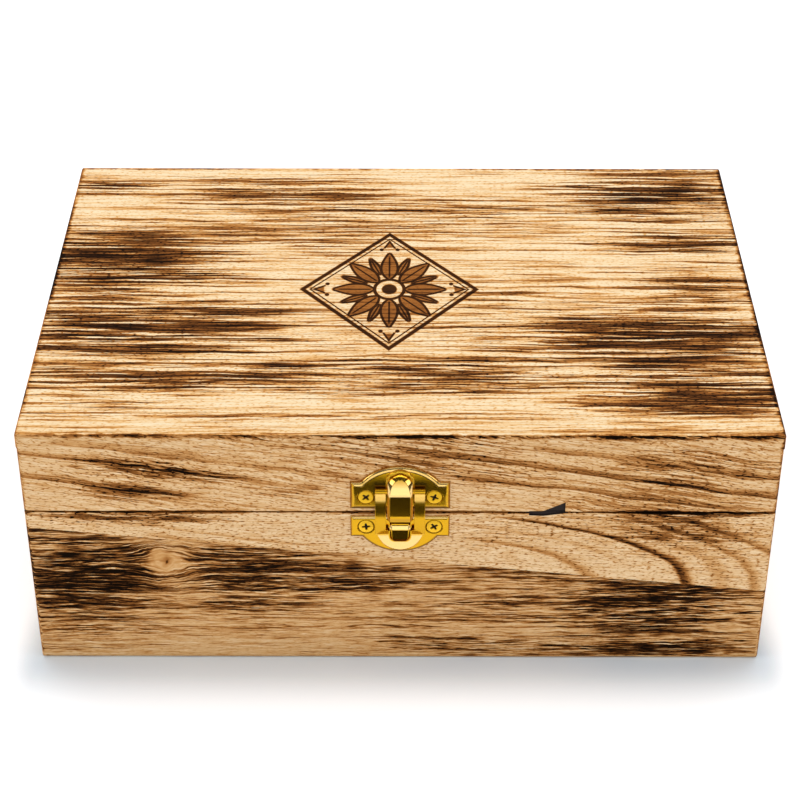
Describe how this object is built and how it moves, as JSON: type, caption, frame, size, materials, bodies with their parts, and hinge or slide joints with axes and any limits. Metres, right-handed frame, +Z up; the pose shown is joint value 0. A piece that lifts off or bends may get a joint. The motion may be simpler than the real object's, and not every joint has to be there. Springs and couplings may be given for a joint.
{
  "type": "wooden keepsake box",
  "caption": "Low wooden box with a hinged lid, rounded edges and a pressed toggle latch in the middle of its front.",
  "frame": {"origin": "centre of the underside, which is the face that the box stands on", "axes": "+X along the width to the viewer's right, +Y from the latch to the hinges, +Z up"},
  "size_m": [0.2504, 0.1857, 0.096],
  "materials": {
    "front_wood": "sanded softwood under thin clear varnish, patches torched brown",
    "body_wood": "sanded softwood under thin clear varnish, edges torched brown",
    "panel_wood": "pale sanded softwood under thin clear varnish, ends torched brown",
    "hinge_brass": "rolled brass sheet, satin",
    "hinge_steel": "brass-washed steel wire, satin",
    "latch_gold": "pressed sheet with a bright gold plating",
    "latch_screw_gold": "bright gold plating, cross slots"
  },
  "bodies": {
    "base": {"base_front_upper_stave": "front_wood", "base_front_lower_stave": "front_wood", "base_back_board": "body_wood", "base_left_board": "body_wood", "base_right_board": "body_wood", "base_bottom_panel": "panel_wood", "left_hinge_base_leaf": "hinge_brass", "right_hinge_base_leaf": "hinge_brass", "left_hinge_pin": "hinge_steel", "right_hinge_pin": "hinge_steel", "hinge_base_screws": "hinge_steel", "latch_base_plate": "latch_gold", "latch_base_screws": "latch_screw_gold"},
    "lid": {"lid_front_board": "front_wood", "lid_back_board": "body_wood", "lid_left_board": "body_wood", "lid_right_board": "body_wood", "lid_top_panel": "panel_wood", "lid_top_front_stave": "panel_wood", "left_hinge_lid_leaf": "hinge_brass", "right_hinge_lid_leaf": "hinge_brass", "hinge_lid_screws": "hinge_steel", "latch_lid_plate": "latch_gold", "latch_lid_screws": "latch_screw_gold"},
    "latch_loop": {"latch_loop": "latch_gold"}
  },
  "joints": [
    {"name": "lid_hinge", "type": "hinge", "parent": "base", "child": "lid", "pos_m": [0, 0.0875, 0.06465], "axis": [-1, 0, 0], "range_deg": [0, 100]},
    {"name": "loop_hinge", "type": "hinge", "parent": "lid", "child": "latch_loop", "pos_m": [0, -0.0917, 0.07495], "axis": [-1, 0, 0], "range_deg": [0, 150]}
  ]
}
